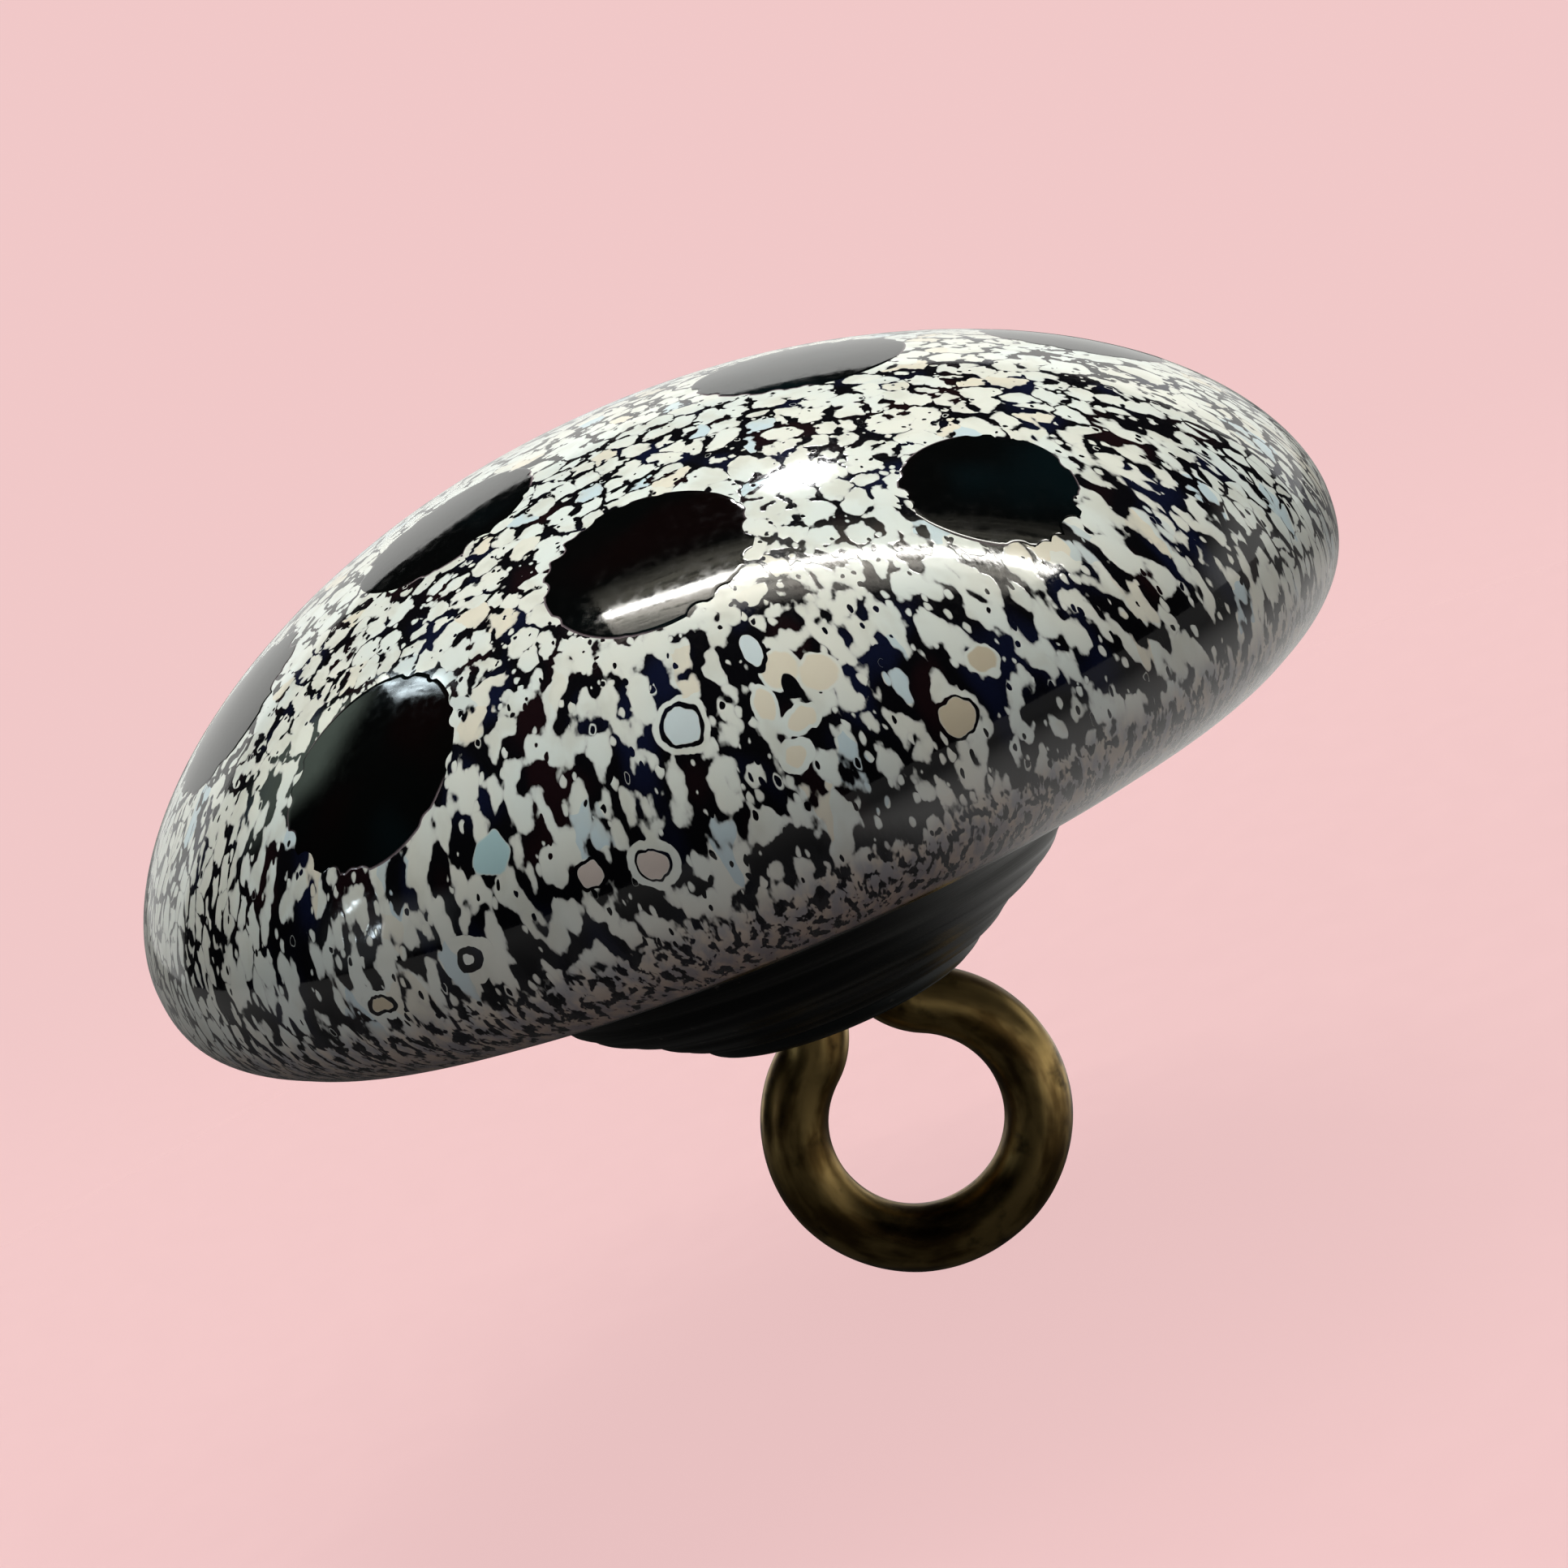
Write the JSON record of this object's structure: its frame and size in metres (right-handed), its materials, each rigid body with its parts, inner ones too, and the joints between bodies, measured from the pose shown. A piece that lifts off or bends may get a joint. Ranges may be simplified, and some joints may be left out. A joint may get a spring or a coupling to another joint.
{
  "type": "shank button",
  "caption": "Domed round glass sew-on button, spattered and dotted, with a wound glass back and a wire eye to sew through.",
  "frame": {"origin": "on the button's axis, level with the lowest point of the wire eye", "axes": "+Z along the button's axis, out of the crown; +X across the wire eye, which stands in the XZ plane; thread passes through the eye along Y"},
  "size_m": [0.023, 0.023, 0.0173],
  "materials": {
    "black_glass": "glossy black opaque glass",
    "spatter_glass": "glossy off-white and silver-grey spatter over black",
    "dot_glass": "glossy black opaque glass",
    "back_glass": "satin black wound glass",
    "shank_wire": "tarnished antique brass"
  },
  "bodies": {
    "root": {"glass_core": "black_glass", "spatter_skin": "spatter_glass", "polka_dot_01": "dot_glass", "polka_dot_02": "dot_glass", "polka_dot_03": "dot_glass", "polka_dot_04": "dot_glass", "polka_dot_05": "dot_glass", "polka_dot_06": "dot_glass", "polka_dot_07": "dot_glass", "polka_dot_08": "dot_glass", "polka_dot_09": "dot_glass", "polka_dot_10": "dot_glass", "polka_dot_11": "dot_glass", "polka_dot_12": "dot_glass", "swirl_back": "back_glass", "wire_shank": "shank_wire"}
  },
  "joints": []
}
